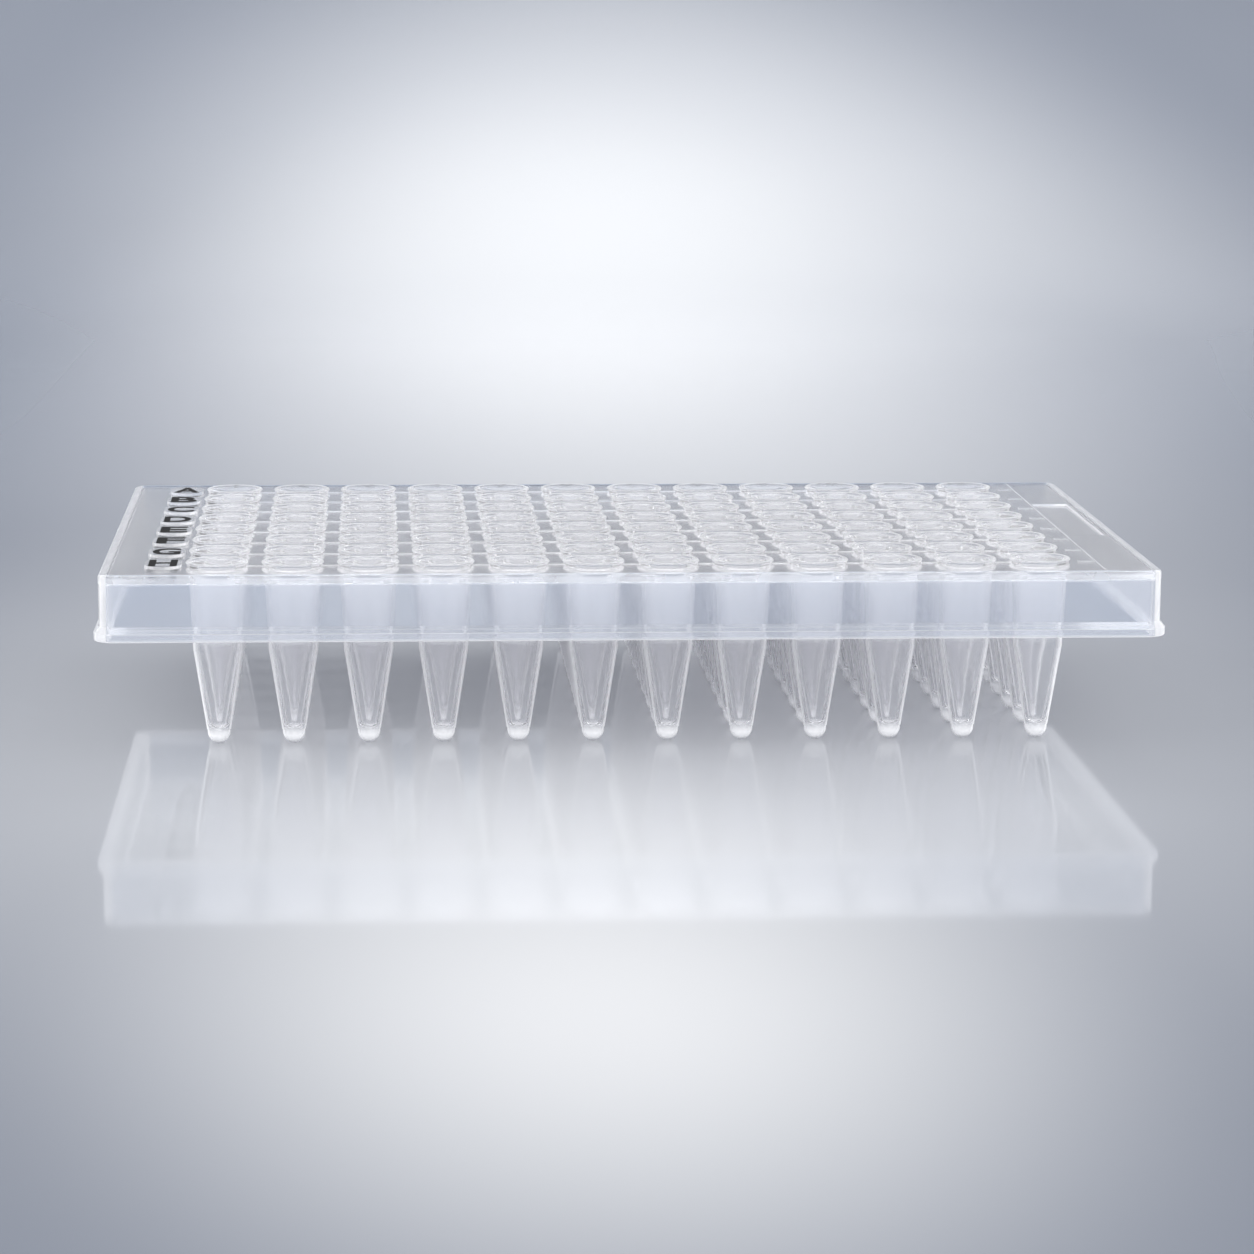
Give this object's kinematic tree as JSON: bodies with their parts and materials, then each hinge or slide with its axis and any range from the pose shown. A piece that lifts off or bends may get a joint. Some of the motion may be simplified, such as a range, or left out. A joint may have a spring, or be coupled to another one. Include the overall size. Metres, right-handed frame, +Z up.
{
  "type": "well plate",
  "caption": "Semi-skirted plate of clear plastic with a grid of thin-walled conical wells that hold small samples for thermal cycling.",
  "frame": {"origin": "on the surface that the tips stand on, under the middle of the deck", "axes": "+X along the rows of wells, from the first column to the last; +Y towards the first row, A; +Z up"},
  "size_m": [0.1278, 0.0796, 0.0221],
  "materials": {
    "clear_polypropylene": "clear, slightly milky, glossy as moulded",
    "black_print": "thin film of black ink"
  },
  "bodies": {
    "root": {"well_plate": "clear_polypropylene"}
  },
  "joints": []
}
